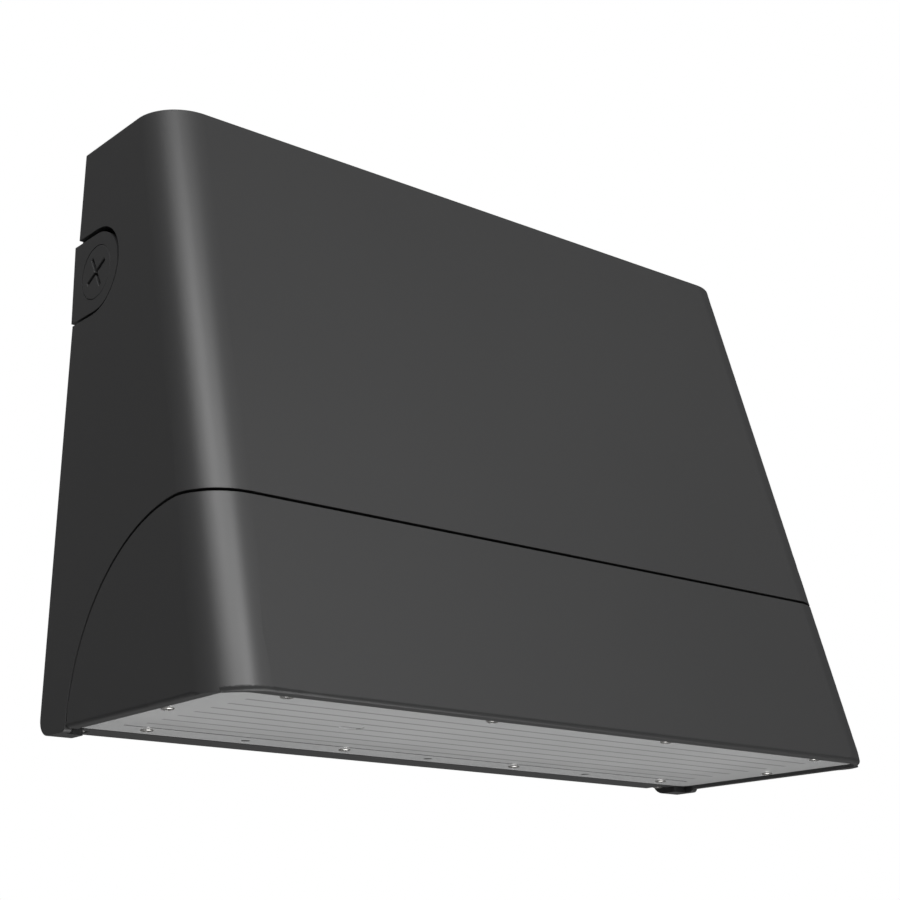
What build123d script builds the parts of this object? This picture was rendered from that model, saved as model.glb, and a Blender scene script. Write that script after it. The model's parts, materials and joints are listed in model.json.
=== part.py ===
from build123d import *
import os

# Wall pack light, in millimetres. X runs to the right, Y into the wall, Z up.
# While it is modelled, Z is measured from the underside of the lens rim. The
# wall plane is Y = 0. Each piece is moved down by MOUNT_HEIGHT when it is
# written, so that the origin is the middle of the wall fixings.

# Outer form
HEIGHT = 223.8
WIDTH_BASE = 314.5
WIDTH_TOP = 301.9
DEPTH_BASE = 118.9
DEPTH_TOP = 56.7
WALL_GAP = 2.8  # from the wall to the back edge of the front casting
WALL = 3.0
CORNER_R = 18.0  # upright corners of the front
TOP_R = 2.5
LOWER_EDGE_R = 1.6
SIDE_DROP = 1.25  # from the lens plane down to the lower edges of the side walls
SKIRT_SLOPE_Y = (-113.0, -102.0)  # where these edges rise to the front
BELOW = -8.0  # how far the forms are carried down before they are cut

# Parting line between the two front castings
PART_HEIGHT = 67.8  # also the radius of the quarter circle on each side
PART_GAP = 1.1
LEG_FRONT_Y = -21.4
TONGUE_REACH = 3.4
TONGUE_FIT = 0.3
TONGUE_THICK = 1.8

# Ears and hinge
EAR_DROP = 2.4
EAR_CORNER_R = 6.7
EAR_TOE_R = 2.0
EAR_INNER_X = 147.6
EAR_FRONT_Y = -16.6  # the thick part of an ear starts behind the lens
EAR_TOP = 17.0
AXIS_Y = -8.3
AXIS_Z = 3.3
PIN_R = 2.0
PIN_END_X = 153.5
PIN_HEAD_THICK = 1.0
BUSH_R = 3.0
BUSH_END_X = 154.0
KNUCKLE_R = 3.5
PLATE_IN_X = 143.9
PLATE_OUT_X = 146.9
PLATE_SCREWS = ((-8.0, 25.0), (-8.0, 40.0))
RUN = 0.05  # running clearance of the pins in their bushes

# Back box
BOX_HALF = 140.0
BOX_LOW = 13.0
BOX_TOP = 212.8
BOX_DEEP_Y = -38.0
BOX_SHALLOW_Y = -15.0
BOX_STEP_Z = 46.0
BOX_DEEP_Z = 60.0
BOX_CORNER_R = 10.0
FLANGE_HALF = 149.0
FLANGE_THICK = 2.4
FLANGE_TOP = 216.8

# Conduit entries
BOSS_Y = -17.2
BOSS_Z = 169.5
BOSS_R = 15.6
BOSS_FACE_X = 152.0
NOTCH_R = 17.5
PLUG_R = 10.7
PLUG_LENGTH = 11.0
SEAL_WIRE_R = 0.9
PLUG_SLOT_ANGLES = (-28, 62)

# Fixings in the wall
MOUNT_HEIGHT = 112.5
SLOT_SPACING = 88.9
SLOT_R = 2.6
SLOT_LENGTH = 16.0
WALL_HOLE_SPACING_X = 250.0
WALL_HOLE_SPACING_Z = 110.0
WALL_HOLE_R = 3.2
ENTRY_Z = 84.0
ENTRY_R = 11.0

# Lamp housing
RIM_THICK = 8.0
RIM_REAR_Y = -1.8
RIM_REAR_R = 2.5
RIM_GAP = 0.4  # from the rear rim to the ears and the hinge plates
CHAMBER_HALF = 139.0
CHAMBER_FRONT = -106.0
CHAMBER_REAR = -31.3
CHAMBER_WALL = 2.5
DECK_LOW = 30.0
DECK_TOP = 33.0
FRONT_POST_X = (60.0, 128.0)
FRONT_POST_Y = -91.0
LUG_Z = 72.0
LUG_THICK = 4.0
REAR_POST = (138.0, -22.3)
REAR_LUG_Z = 14.3
POST_R = 4.5
REAR_LUG_REACH = 153.0  # how far a rear lug runs inside the lower casting's wall

# Lens and what holds it
LENS_HALF = 152.6
LENS_FRONT = -116.1
LENS_REAR = -17.3
LENS_LOW = 0.15
LENS_THICK = 2.6
LENS_FRONT_R = 8.0
LENS_REAR_R = 5.0
GASKET_THICK = 0.8
RIB_MIDDLE_Y = -70.0
RIB_PITCH = 10.1
RIB_COUNT = 7
RIB_HEIGHT = 2.0
LENS_FIT = 0.3
LENS_SCREW_X = (42.75, 128.25)
LENS_SCREW_Y = (-112.0, -26.6)
LENS_SCREW_SIDE = (146.8, -71.0)
LENS_SCREW_R = 1.9
LENS_HEAD_R = 2.9
LENS_HEAD_HIGH = 1.1
PEG_X = (0.0, 85.5)
PEG_Y = (-112.6, -23.8)
PEG_R = 1.6
GATE = (-73.0, -71.5)  # the round mark that moulding leaves on the lens
GATE_R = 4.5
GATE_DEEP = 0.3

# Light engine
BOARD_THICK = 1.6
BOARD_X = (4.0, 130.0)
BOARD_Y = (-98.6, -38.6)
LED_ROWS = (-89.6, -68.6, -47.6)
BETWEEN_ROWS = (-79.1, -58.1)
LED_COUNT = 9
LED_SIZE = 3.5
LEAD_X = -75.5
LEAD_Y = -58.1
LEAD_R = 2.5

# Heat sink on the deck
SINK_X = 128.0
SINK_Y = (-84.0, -33.0)
SINK_SCREWS = (110.5, (-75.0, -42.0))
SINK_BASE = 3.0
FIN_TOP = 47.0
FIN_THICK = 1.6
FIN_PITCH = 8.5

# Driver, splices and ground inside the box
DRIVER_Z = 182.0
DRIVER_X = (-58.0, 92.0)
DRIVER_SCREW_X = (DRIVER_X[0] - 8, DRIVER_X[1] + 8)
DRIVER_DEEP = 27.0
DRIVER_TALL = 40.0
CONNECTOR_X = (60.0, 73.0, 86.0)
LEAD_WIRE_R = 1.1
CONNECTOR_Z = (98.0, 120.0)
GROUND_X = -105.0
GROUND_Z = 112.0

# Latch springs under the top, and their keepers on the box
LATCH_X = 95.0
LATCH_SEAT_Y = -38.0
LATCH_SEAT_Z = HEIGHT - WALL - 3.0
LATCH_THICK = 0.6
KEEPER_Y = -13.0
KEEPER_HEIGHT = 2.2

HEAD_LIFT = 2.4  # height of the heads of the inner screws


def front_y(z):
    return -(WALL_GAP + DEPTH_BASE) + (DEPTH_BASE - DEPTH_TOP) * z / HEIGHT


def half_width(z):
    return (WIDTH_BASE - (WIDTH_BASE - WIDTH_TOP) * z / HEIGHT) / 2


def block(x_low, x_high, y_low, y_high, z_low, z_high):
    size = (x_high - x_low, y_high - y_low, z_high - z_low)
    middle = ((x_low + x_high) / 2, (y_low + y_high) / 2, (z_low + z_high) / 2)
    return Pos(*middle) * Box(*size)


def rod_x(radius, x_low, x_high, y, z):
    return Pos((x_low + x_high) / 2, y, z) * Rot(0, 90, 0) * Cylinder(radius, x_high - x_low)


def rod_y(radius, x, y_low, y_high, z):
    return Pos(x, (y_low + y_high) / 2, z) * Rot(90, 0, 0) * Cylinder(radius, y_high - y_low)


def rod_z(radius, x, y, z_low, z_high):
    return Pos(x, y, (z_low + z_high) / 2) * Cylinder(radius, z_high - z_low)


def both_sides(shape):
    return shape + mirror(shape, about=Plane.YZ)


def side_prism(outline, x_low, x_high):
    """Carry an outline, drawn in Y and Z, from one X to another."""
    return Pos(x_low, 0, 0) * extrude(Plane.YZ * outline, amount=x_high - x_low)


def flat_prism(outline, z_low, z_high):
    return Pos(0, 0, z_low) * extrude(outline, amount=z_high - z_low)


def polygon(*points):
    return make_face(Polyline(*points, close=True))


def round_corner(outline, place, radius):
    corner = outline.vertices().sort_by_distance(Vector(*place, 0))[0]
    return fillet(corner, radius)


def envelope(inset, back_y, top_z):
    """The leaning outer form, moved in by the inset."""
    def section(z):
        front = front_y(z) + inset
        outline = Rectangle(2 * (half_width(z) - inset), back_y - front)
        return Plane.XY.offset(z) * Pos(0, (front + back_y) / 2) * outline

    form = loft([section(BELOW), section(top_z)], ruled=True)
    upright = [edge for edge in form.edges()
               if edge.bounding_box().size.Z > HEIGHT / 2 and edge.center().Y < 2 * LEG_FRONT_Y]
    return fillet(upright, CORNER_R - inset)


def outer_form():
    form = envelope(0, -WALL_GAP, HEIGHT)
    top_edges = [edge for edge in form.edges()
                 if edge.bounding_box().min.Z > HEIGHT - 1 and edge.center().Y < -WALL_GAP - 1]
    return fillet(top_edges, TOP_R)


def hollow_form(inset=WALL):
    return envelope(inset, -WALL_GAP + 30, HEIGHT - inset)


def shell_outline():
    """Side view of the upper casting: the sloping front part and the leg."""
    outline = polygon((-WALL_GAP, HEIGHT + 10), (-WALL_GAP, -EAR_DROP), (LEG_FRONT_Y, -EAR_DROP),
                      (LEG_FRONT_Y, PART_HEIGHT), (-160, PART_HEIGHT), (-160, HEIGHT + 10))
    outline = round_corner(outline, (LEG_FRONT_Y, PART_HEIGHT), PART_HEIGHT)
    outline = round_corner(outline, (-WALL_GAP, -EAR_DROP), EAR_CORNER_R)
    return round_corner(outline, (LEG_FRONT_Y, -EAR_DROP), EAR_TOE_R)


def lower_outline(inside):
    """Side view of the lower casting, this far inside the parting line."""
    rear = LEG_FRONT_Y - inside
    top = PART_HEIGHT - inside
    outline = polygon((rear, BELOW), (rear, top), (-160, top), (-160, BELOW))
    return round_corner(outline, (rear, top), top)


def boss_outline(radius, back_y):
    flat = Pos((BOSS_Y + back_y) / 2, BOSS_Z) * Rectangle(back_y - BOSS_Y, 2 * radius)
    return Pos(BOSS_Y, BOSS_Z) * Circle(radius) + flat


def screw_down(x, y, seat_z, length, radius, head_r):
    """A pan-head screw whose head lies on a seat, with its shank going down."""
    shank = rod_z(radius, x, y, seat_z - length, seat_z)
    head = rod_z(head_r, x, y, seat_z, seat_z + HEAD_LIFT)
    head = chamfer(head.faces().sort_by(Axis.Z)[-1].edges(), HEAD_LIFT / 3)
    slot = block(x - head_r, x + head_r, y - 0.5, y + 0.5, seat_z + HEAD_LIFT - 1, seat_z + 10)
    return shank + head - slot


def upper_shell():
    outer = outer_form()
    shell = outer - hollow_form()
    ear_room = polygon((EAR_FRONT_Y, BELOW), (EAR_FRONT_Y, EAR_TOP), (5, EAR_TOP), (5, BELOW))
    ear_block = side_prism(shell_outline() & ear_room, EAR_INNER_X, half_width(BELOW) + 5)
    shell = shell & side_prism(shell_outline(), -WIDTH_BASE, WIDTH_BASE)
    shell += both_sides(ear_block & outer)
    notch = side_prism(boss_outline(NOTCH_R, 10), BOX_HALF - 5, half_width(0) + 5)
    shell -= both_sides(notch)
    shell -= both_sides(rod_x(BUSH_R, EAR_INNER_X - 1, BUSH_END_X, AXIS_Y, AXIS_Z))
    for x in FRONT_POST_X:
        lug = block(x - 8, x + 8, -125, FRONT_POST_Y + 7, LUG_Z, LUG_Z + LUG_THICK) & outer
        web = side_prism(polygon((-125, LUG_Z + 1), (FRONT_POST_Y - 5.5, LUG_Z + 1),
                                 (front_y(LUG_Z + 28) + WALL, LUG_Z + 28), (-125, LUG_Z + 28)),
                         x - 1.2, x + 1.2) & outer
        shell += both_sides(lug + web)
        shell -= both_sides(rod_z(2.2, x, FRONT_POST_Y, LUG_Z - 1, LUG_Z + 10))
    x, y = REAR_POST
    rear_lug = block(x - 6, REAR_LUG_REACH, y - 6, y + 6, REAR_LUG_Z, REAR_LUG_Z + LUG_THICK)
    rear_lug += block(x, half_width(0), y, y + 6, REAR_LUG_Z, REAR_LUG_Z + LUG_THICK) & outer
    rear_lug -= rod_z(2.2, x, y, 0, 30)
    shell += both_sides(rear_lug)
    seat = block(LATCH_X - 11, LATCH_X + 11, LATCH_SEAT_Y - 6, LATCH_SEAT_Y + 6, LATCH_SEAT_Z, HEIGHT - WALL + 1)
    seat -= rod_z(1.5, LATCH_X, LATCH_SEAT_Y, LATCH_SEAT_Z - 1, HEIGHT - WALL - 0.5)
    return shell + both_sides(seat)


def tongue():
    """The lip that closes the groove from inside, behind the edge of the upper casting."""
    def layer(inset, outline):
        band = side_prism(outline - lower_outline(TONGUE_REACH + PART_GAP), -WIDTH_BASE, WIDTH_BASE)
        return band & (hollow_form(inset) - hollow_form(WALL + TONGUE_THICK))

    root = layer(WALL - 0.5, lower_outline(PART_GAP))
    lip = layer(WALL + TONGUE_FIT, lower_outline(-TONGUE_REACH))
    return (root + lip) & block(-200, 200, -200, -20, EAR_TOP + 3, HEIGHT)


def side_skirt(outer):
    """The lower edge of the right side wall, which hangs a little below the lens."""
    rear = LEG_FRONT_Y - PART_GAP
    slope_start, slope_end = SKIRT_SLOPE_Y
    outline = polygon((rear, -SIDE_DROP), (rear, RIM_THICK), (slope_start, RIM_THICK),
                      (slope_start, 0), (slope_end, -SIDE_DROP))
    skirt = outer & side_prism(outline, LENS_HALF + LENS_FIT, half_width(BELOW) + 5)
    outer_edges = [edge for edge in skirt.edges()
                   if edge.bounding_box().max.Z < 0.01 - SIDE_DROP and edge.center().X > half_width(0) - 0.5]
    return fillet(outer_edges, LOWER_EDGE_R)


def lamp_housing():
    outer = outer_form()
    hollow = hollow_form() & block(-200, 200, -200, 60, RIM_THICK, HEIGHT)
    body = outer & side_prism(lower_outline(PART_GAP), -WIDTH_BASE, WIDTH_BASE)
    body = body & block(-200, 200, -200, 60, 0, HEIGHT)
    lower_edges = [edge for edge in body.edges()
                   if edge.bounding_box().max.Z < 0.01 and edge.center().Y < LEG_FRONT_Y - 5]
    body = fillet(lower_edges, LOWER_EDGE_R) + both_sides(side_skirt(outer))
    body -= hollow
    body += block(-LENS_HALF - LENS_FIT, LENS_HALF + LENS_FIT, CHAMBER_REAR, LENS_REAR + LENS_FIT, 0, RIM_THICK)
    rear_rim = block(-EAR_INNER_X + RIM_GAP, EAR_INNER_X - RIM_GAP, CHAMBER_REAR, RIM_REAR_Y, 0, RIM_THICK)
    rear_edges = [edge for edge in rear_rim.edges().filter_by(Axis.X) if edge.center().Y > RIM_REAR_Y - 1]
    body += fillet(rear_edges, RIM_REAR_R)
    # Space for the hinge plates at the rear corners
    plate_room = block(PLATE_IN_X - PIN_HEAD_THICK - RIM_GAP, EAR_INNER_X + 1,
                       AXIS_Y - KNUCKLE_R - RIM_GAP, 10, -5, 20)
    body -= both_sides(plate_room)
    body += tongue()
    # Light chamber, with its deck on top
    outside = (-CHAMBER_HALF - CHAMBER_WALL, CHAMBER_HALF + CHAMBER_WALL,
               CHAMBER_FRONT - CHAMBER_WALL, CHAMBER_REAR + CHAMBER_WALL)
    body += block(*outside, RIM_THICK, DECK_TOP)
    chamber = block(-CHAMBER_HALF, CHAMBER_HALF, CHAMBER_FRONT, CHAMBER_REAR, BELOW, DECK_LOW)
    body -= fillet(chamber.edges().filter_by(Axis.Z), 4)
    # Ribs from the chamber to the outer walls
    web_space = outer & block(-200, 200, -200, 60, RIM_THICK - 1, DECK_TOP)
    for x in (0.0, 42.0, 84.0, 120.0):
        rib = block(x - 1.2, x + 1.2, -130, CHAMBER_FRONT - 1, RIM_THICK - 1, DECK_TOP)
        body += both_sides(rib) & web_space if x else rib & web_space
    for y in (-88.0, -50.0):
        rib = block(CHAMBER_HALF + 1, 180, y - 1.2, y + 1.2, RIM_THICK - 1, DECK_TOP - 8)
        body += both_sides(rib) & web_space
    # Screw posts
    for x in FRONT_POST_X:
        post = rod_z(POST_R, x, FRONT_POST_Y, DECK_TOP - 1, LUG_Z)
        foot = rod_z(POST_R + 1.5, x, FRONT_POST_Y, DECK_TOP - 1, DECK_TOP + 8)
        body += both_sides(post + foot)
        body -= both_sides(rod_z(1.9, x, FRONT_POST_Y, LUG_Z - 15, LUG_Z + 1))
    x, y = REAR_POST
    body += both_sides(rod_z(POST_R, x, y, RIM_THICK - 1, REAR_LUG_Z))
    body -= both_sides(rod_z(1.9, x, y, RIM_THICK - 2, REAR_LUG_Z + 1))
    # Seat of the lens, its screw holes and its locating pegs
    body -= flat_prism(lens_outline(LENS_FIT), BELOW, LENS_LOW + LENS_THICK + GASKET_THICK)
    for x, y in lens_screw_places():
        body -= rod_z(LENS_SCREW_R, x, y, 0, RIM_THICK - 1)
    for x, y in peg_places():
        body += rod_z(PEG_R, x, y, LENS_LOW, RIM_THICK - 1)
    for x, y in board_screw_places():
        body -= rod_z(1.3, x, y, DECK_LOW - 1, DECK_TOP - 0.5)
    for x, y in sink_screw_places():
        body -= rod_z(1.6, x, y, DECK_LOW + 0.6, DECK_TOP + 1)
    return body - rod_z(LEAD_R + 2.0, LEAD_X, LEAD_Y, DECK_LOW - 1, DECK_TOP + 1)


def lens_outline(grow):
    outline = Pos(0, (LENS_FRONT + LENS_REAR) / 2) * Rectangle(
        2 * (LENS_HALF + grow), LENS_REAR - LENS_FRONT + 2 * grow)
    for side in (-1, 1):
        x = side * (LENS_HALF + grow)
        outline = round_corner(outline, (x, LENS_FRONT - grow), LENS_FRONT_R)
        outline = round_corner(outline, (x, LENS_REAR + grow), LENS_REAR_R)
    return outline


def lens_screw_places():
    places = [(side * x, y) for side in (-1, 1) for x in LENS_SCREW_X
              for y in LENS_SCREW_Y]
    return places + [(side * LENS_SCREW_SIDE[0], LENS_SCREW_SIDE[1]) for side in (-1, 1)]


def peg_places():
    x_places = (0.0, PEG_X[1], -PEG_X[1])
    return [(x, y) for x in x_places for y in PEG_Y]


def lens():
    top = LENS_LOW + LENS_THICK
    plate = flat_prism(lens_outline(0), LENS_LOW, top)
    for number in range(RIB_COUNT):
        y = RIB_MIDDLE_Y + (number - (RIB_COUNT - 1) / 2) * RIB_PITCH
        ridge = polygon((y - RIB_PITCH / 2 + 0.3, top - 0.2), (y, top + RIB_HEIGHT),
                        (y + RIB_PITCH / 2 - 0.3, top - 0.2))
        plate += side_prism(ridge, -CHAMBER_HALF + 3, CHAMBER_HALF - 3)
    for x, y in lens_screw_places():
        plate -= rod_z(LENS_SCREW_R + 0.2, x, y, 0, 10)
    for x, y in peg_places():
        plate -= rod_z(PEG_R + 0.15, x, y, 0, 10)
    return plate - rod_z(GATE_R, *GATE, LENS_LOW - 1, LENS_LOW + GATE_DEEP)


def lens_gasket():
    low = LENS_LOW + LENS_THICK
    ring = flat_prism(lens_outline(-0.8), low, low + GASKET_THICK)
    ring -= block(-CHAMBER_HALF - 1, CHAMBER_HALF + 1, CHAMBER_FRONT - 1, CHAMBER_REAR + 1, 0, 10)
    for x, y in lens_screw_places():
        ring -= rod_z(LENS_SCREW_R + 0.2, x, y, 0, 10)
    for x, y in peg_places():
        ring -= rod_z(PEG_R + 0.15, x, y, 0, 10)
    return ring


def lens_screws():
    group = Part()
    for x, y in lens_screw_places():
        shank = rod_z(LENS_SCREW_R, x, y, LENS_LOW, RIM_THICK - 1)
        head = rod_z(LENS_HEAD_R, x, y, LENS_LOW - LENS_HEAD_HIGH, LENS_LOW)
        head = chamfer(head.faces().sort_by(Axis.Z)[0].edges(), 0.4)
        socket = Pos(x, y, LENS_LOW - LENS_HEAD_HIGH) * extrude(RegularPolygon(1.2, 6), amount=0.8, both=True)
        group += shank + head - socket
    return group


def back_box():
    outline = polygon((0, BOX_LOW), (BOX_SHALLOW_Y, BOX_LOW), (BOX_SHALLOW_Y, BOX_STEP_Z),
                      (BOX_DEEP_Y, BOX_DEEP_Z), (BOX_DEEP_Y, BOX_TOP), (0, BOX_TOP))
    box = side_prism(outline, -BOX_HALF, BOX_HALF)
    box = fillet([edge for edge in box.edges().filter_by(Axis.Y)], BOX_CORNER_R)
    inside = polygon((-WALL, BOX_LOW + WALL), (BOX_SHALLOW_Y + WALL, BOX_LOW + WALL),
                     (BOX_SHALLOW_Y + WALL, BOX_STEP_Z + 2), (BOX_DEEP_Y - 1, BOX_DEEP_Z + WALL + 1),
                     (BOX_DEEP_Y - 1, BOX_TOP - WALL), (-WALL, BOX_TOP - WALL))
    space = side_prism(inside, -BOX_HALF + WALL, BOX_HALF - WALL)
    box -= fillet(space.edges().filter_by(Axis.Y), BOX_CORNER_R - WALL)
    flange = block(-FLANGE_HALF, FLANGE_HALF, -FLANGE_THICK, 0, BOX_LOW - 1, FLANGE_TOP)
    flange = fillet(flange.edges().filter_by(Axis.Y), BOX_CORNER_R)
    box += flange - block(-BOX_HALF + 5, BOX_HALF - 5, -10, 10, BOX_LOW + 5, BOX_TOP - 5)
    # Conduit bosses, bored for their plugs
    boss = side_prism(boss_outline(BOSS_R, 0), BOX_HALF - 5, BOSS_FACE_X)
    boss += side_prism(boss_outline(BOSS_R, 0), BOX_HALF - 8, BOX_HALF)
    box += both_sides(boss)
    box -= both_sides(rod_x(PLUG_R, BOX_HALF - 10, BOSS_FACE_X + 1, BOSS_Y, BOSS_Z))
    # Pads for the hinge plates
    for y, z in PLATE_SCREWS:
        box += both_sides(rod_x(4.5, BOX_HALF - 1, PLATE_IN_X, y, z))
        box -= both_sides(rod_x(1.6, BOX_HALF - 2, PLATE_IN_X + 1, y, z))
    # Keepers for the latch springs
    keeper = polygon((KEEPER_Y - 4, BOX_TOP - 1), (KEEPER_Y - 4, BOX_TOP), (KEEPER_Y, BOX_TOP + KEEPER_HEIGHT),
                     (KEEPER_Y + 1.5, BOX_TOP + KEEPER_HEIGHT), (KEEPER_Y + 2.5, BOX_TOP - 1))
    box += both_sides(side_prism(keeper, LATCH_X - 12, LATCH_X + 12))
    # Seats inside for the driver and the ground screw
    for x in DRIVER_SCREW_X:
        box += rod_y(5, x, -WALL - 3, -WALL + 1, DRIVER_Z)
        box -= rod_y(1.6, x, -WALL - 4, -WALL + 1, DRIVER_Z)
    box += rod_y(5, GROUND_X, -WALL - 3, -WALL + 1, GROUND_Z)
    box -= rod_y(1.9, GROUND_X, -WALL - 4, -WALL + 1, GROUND_Z)
    # Holes and the gasket groove in the back
    for side in (-1, 1):
        slot = Plane.XZ * Pos(side * SLOT_SPACING / 2, MOUNT_HEIGHT) * SlotOverall(SLOT_LENGTH, 2 * SLOT_R)
        box -= extrude(slot, amount=10, both=True)
        for z_side in (-1, 1):
            box -= rod_y(WALL_HOLE_R, side * WALL_HOLE_SPACING_X / 2, -10, 10,
                         MOUNT_HEIGHT + z_side * WALL_HOLE_SPACING_Z / 2)
    box -= rod_y(ENTRY_R, 0, -10, 10, ENTRY_Z)
    return box - gasket_ring()


def gasket_ring():
    """The foam ring that lies in a groove of the box's back, level with it."""
    middle = Plane.XZ * Pos(0, 102)
    ring = middle * RectangleRounded(150, 84, 16) - middle * RectangleRounded(138, 72, 10)
    return Pos(0, -1.2, 0) * extrude(ring, amount=-1.2)


def hinge_plates():
    outline = Pos(AXIS_Y, AXIS_Z) * Circle(KNUCKLE_R)
    outline += Pos(AXIS_Y, AXIS_Z + 8) * Rectangle(2 * KNUCKLE_R, 16)
    outline += Pos(-8.2, 32) * RectangleRounded(11, 30, 3)
    plate = side_prism(outline, PLATE_IN_X, PLATE_OUT_X)
    plate -= rod_x(PIN_R, PLATE_IN_X - 1, PLATE_OUT_X + 1, AXIS_Y, AXIS_Z)
    for y, z in PLATE_SCREWS:
        plate -= rod_x(1.8, PLATE_IN_X - 1, PLATE_OUT_X + 1, y, z)
    return both_sides(plate)


def hinge_plate_screws():
    group = Part()
    for y, z in PLATE_SCREWS:
        shank = rod_x(1.6, BOX_HALF - 1, PLATE_OUT_X, y, z)
        head = rod_x(3.2, PLATE_OUT_X, PLATE_OUT_X + 1.6, y, z)
        group += shank + chamfer(head.faces().sort_by(Axis.X)[-1].edges(), 0.6)
    return both_sides(group)


def hinge_pins():
    pin = rod_x(PIN_R, PLATE_IN_X, PIN_END_X, AXIS_Y, AXIS_Z)
    pin = chamfer(pin.faces().sort_by(Axis.X)[-1].edges(), 0.5)
    head = rod_x(PIN_R + 1.2, PLATE_IN_X - PIN_HEAD_THICK, PLATE_IN_X, AXIS_Y, AXIS_Z)
    return both_sides(pin + head)


def hinge_bushes():
    bush = rod_x(BUSH_R, EAR_INNER_X, BUSH_END_X, AXIS_Y, AXIS_Z)
    return both_sides(bush - rod_x(PIN_R + RUN, EAR_INNER_X - 1, BUSH_END_X + 1, AXIS_Y, AXIS_Z))


def conduit_plug():
    face = BOSS_FACE_X
    plug = rod_x(PLUG_R, face - PLUG_LENGTH, face, BOSS_Y, BOSS_Z)
    plug = chamfer(plug.faces().sort_by(Axis.X)[-1].edges(), 0.4)
    groove = rod_x(PLUG_R + 1, face - 3.4, face - 1.6, BOSS_Y, BOSS_Z)
    groove -= rod_x(PLUG_R - SEAL_WIRE_R, face - 4, face - 1, BOSS_Y, BOSS_Z)
    plug -= groove
    plug -= rod_x(PLUG_R - 3, face - PLUG_LENGTH - 1, face - 4.5, BOSS_Y, BOSS_Z)
    arm = Pos(face, BOSS_Y, BOSS_Z) * Box(4, 1.6, 14)
    for angle in PLUG_SLOT_ANGLES:
        turn = Pos(0, BOSS_Y, BOSS_Z) * Rot(angle, 0, 0) * Pos(0, -BOSS_Y, -BOSS_Z)
        plug -= turn * arm
    return plug


def plug_seal():
    face = BOSS_FACE_X
    ring = rod_x(PLUG_R, face - 3.3, face - 1.7, BOSS_Y, BOSS_Z)
    return ring - rod_x(PLUG_R - SEAL_WIRE_R, face - 4, face - 1, BOSS_Y, BOSS_Z)


def led_driver():
    low, high = DRIVER_X
    back = -WALL - 3
    body = block(low, high, back - DRIVER_DEEP, back, DRIVER_Z - DRIVER_TALL / 2, DRIVER_Z + DRIVER_TALL / 2)
    body = fillet(body.edges().filter_by(Axis.Y), 3)
    body = chamfer(body.faces().sort_by(Axis.Y)[0].edges(), 1.5)
    tabs = block(low - 15, high + 15, back - 2, back, DRIVER_Z - 9, DRIVER_Z + 9)
    body += fillet(tabs.edges().filter_by(Axis.Y), 4)
    for x in DRIVER_SCREW_X:
        body -= rod_y(2, x, back - 5, back + 1, DRIVER_Z)
    return body


def driver_screws():
    group = Part()
    for x in DRIVER_SCREW_X:
        seat = -WALL - 5
        head = rod_y(3.6, x, seat - 2.2, seat, DRIVER_Z)
        head = chamfer(head.faces().sort_by(Axis.Y)[0].edges(), 0.8)
        group += rod_y(1.6, x, seat, -WALL + 1, DRIVER_Z) + head
    return group


def ground_screw():
    seat = -WALL - 3
    washer = rod_y(5.5, GROUND_X, seat - 1, seat, GROUND_Z)
    head = Pos(GROUND_X, seat - 1, GROUND_Z) * extrude(Plane.XZ * RegularPolygon(4, 6), amount=3)
    return rod_y(1.9, GROUND_X, seat, -WALL + 1, GROUND_Z) + washer + head


def wire_connectors():
    group = Part()
    for x in CONNECTOR_X:
        body = block(x - 5.5, x + 5.5, -WALL - 10, -WALL, *CONNECTOR_Z)
        body = fillet(body.edges().filter_by(Axis.Z), 1.5)
        for offset in (-2.6, 2.6):
            body -= rod_z(1.4, x + offset, -WALL - 5, CONNECTOR_Z[0] - 1, CONNECTOR_Z[0] + 6)
        group += body
    return group


def wire(points, radius, bend):
    path = FilletPolyline(*points, radius=bend)
    start = Plane(origin=path @ 0, z_dir=path % 0)
    return sweep(start * Circle(radius), path=path)


def driver_leads():
    group = Part()
    for x in CONNECTOR_X:
        group += rod_z(LEAD_WIRE_R, x, -WALL - 5, CONNECTOR_Z[1], DRIVER_Z - DRIVER_TALL / 2)
    return group


def latch_springs():
    """Leaf springs under the shell's top, hooked behind the keepers of the box."""
    top = LATCH_SEAT_Z
    line = [(LATCH_SEAT_Y - 6, top), (LATCH_SEAT_Y + 8, top), (KEEPER_Y - 2, BOX_TOP + KEEPER_HEIGHT + 2.4),
            (KEEPER_Y + 4.2, BOX_TOP + 1.8), (KEEPER_Y + 7, BOX_TOP + 4.5)]
    under = [(y, z - LATCH_THICK) for y, z in reversed(line)]
    leaf = side_prism(polygon(*line, *under), LATCH_X - 8, LATCH_X + 8)
    return both_sides(leaf - rod_z(1.7, LATCH_X, LATCH_SEAT_Y, top - 5, top + 5))


def latch_screws():
    under = LATCH_SEAT_Z - LATCH_THICK
    shank = rod_z(1.5, LATCH_X, LATCH_SEAT_Y, under, HEIGHT - WALL - 0.5)
    head = rod_z(3, LATCH_X, LATCH_SEAT_Y, under - 1.8, under)
    return both_sides(shank + chamfer(head.faces().sort_by(Axis.Z)[0].edges(), 0.6))


def joining_screws():
    group = Part()
    for x in FRONT_POST_X:
        group += screw_down(x, FRONT_POST_Y, LUG_Z + LUG_THICK, 16, 1.9, 3.8)
    x, y = REAR_POST
    group += screw_down(x, y, REAR_LUG_Z + LUG_THICK, 11, 1.9, 3.8)
    return both_sides(group)


def sink_screw_places():
    return [(side * SINK_SCREWS[0], y) for side in (-1, 1) for y in SINK_SCREWS[1]]


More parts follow.
